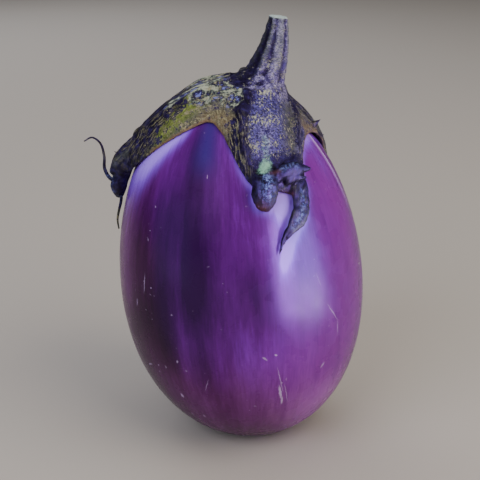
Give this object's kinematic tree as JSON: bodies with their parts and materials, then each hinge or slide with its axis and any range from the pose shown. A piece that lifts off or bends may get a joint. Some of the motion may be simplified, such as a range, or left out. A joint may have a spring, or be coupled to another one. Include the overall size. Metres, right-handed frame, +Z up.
{
  "type": "eggplant",
  "caption": "Whole round purple eggplant standing on its blossom end, with a lobed mottled calyx and a short cut stem.",
  "frame": {"origin": "centre of the small flat spot on the blossom end that the fruit rests on", "axes": "+Z up along the fruit towards the stem; +X to the right and -Y towards the viewer who faces the front lobe of the calyx"},
  "size_m": [0.1179, 0.105, 0.1822],
  "materials": {
    "fruit_skin": "smooth glossy natural skin with long violet and purple streaks",
    "calyx_leather": "fine mottled plant skin in dark violet, olive and pale green, semi-matt",
    "stem_bark": "ridged dark violet stalk with a pale cut face, semi-matt"
  },
  "bodies": {
    "root": {"fruit": "fruit_skin", "calyx": "calyx_leather", "stem": "stem_bark"}
  },
  "joints": []
}
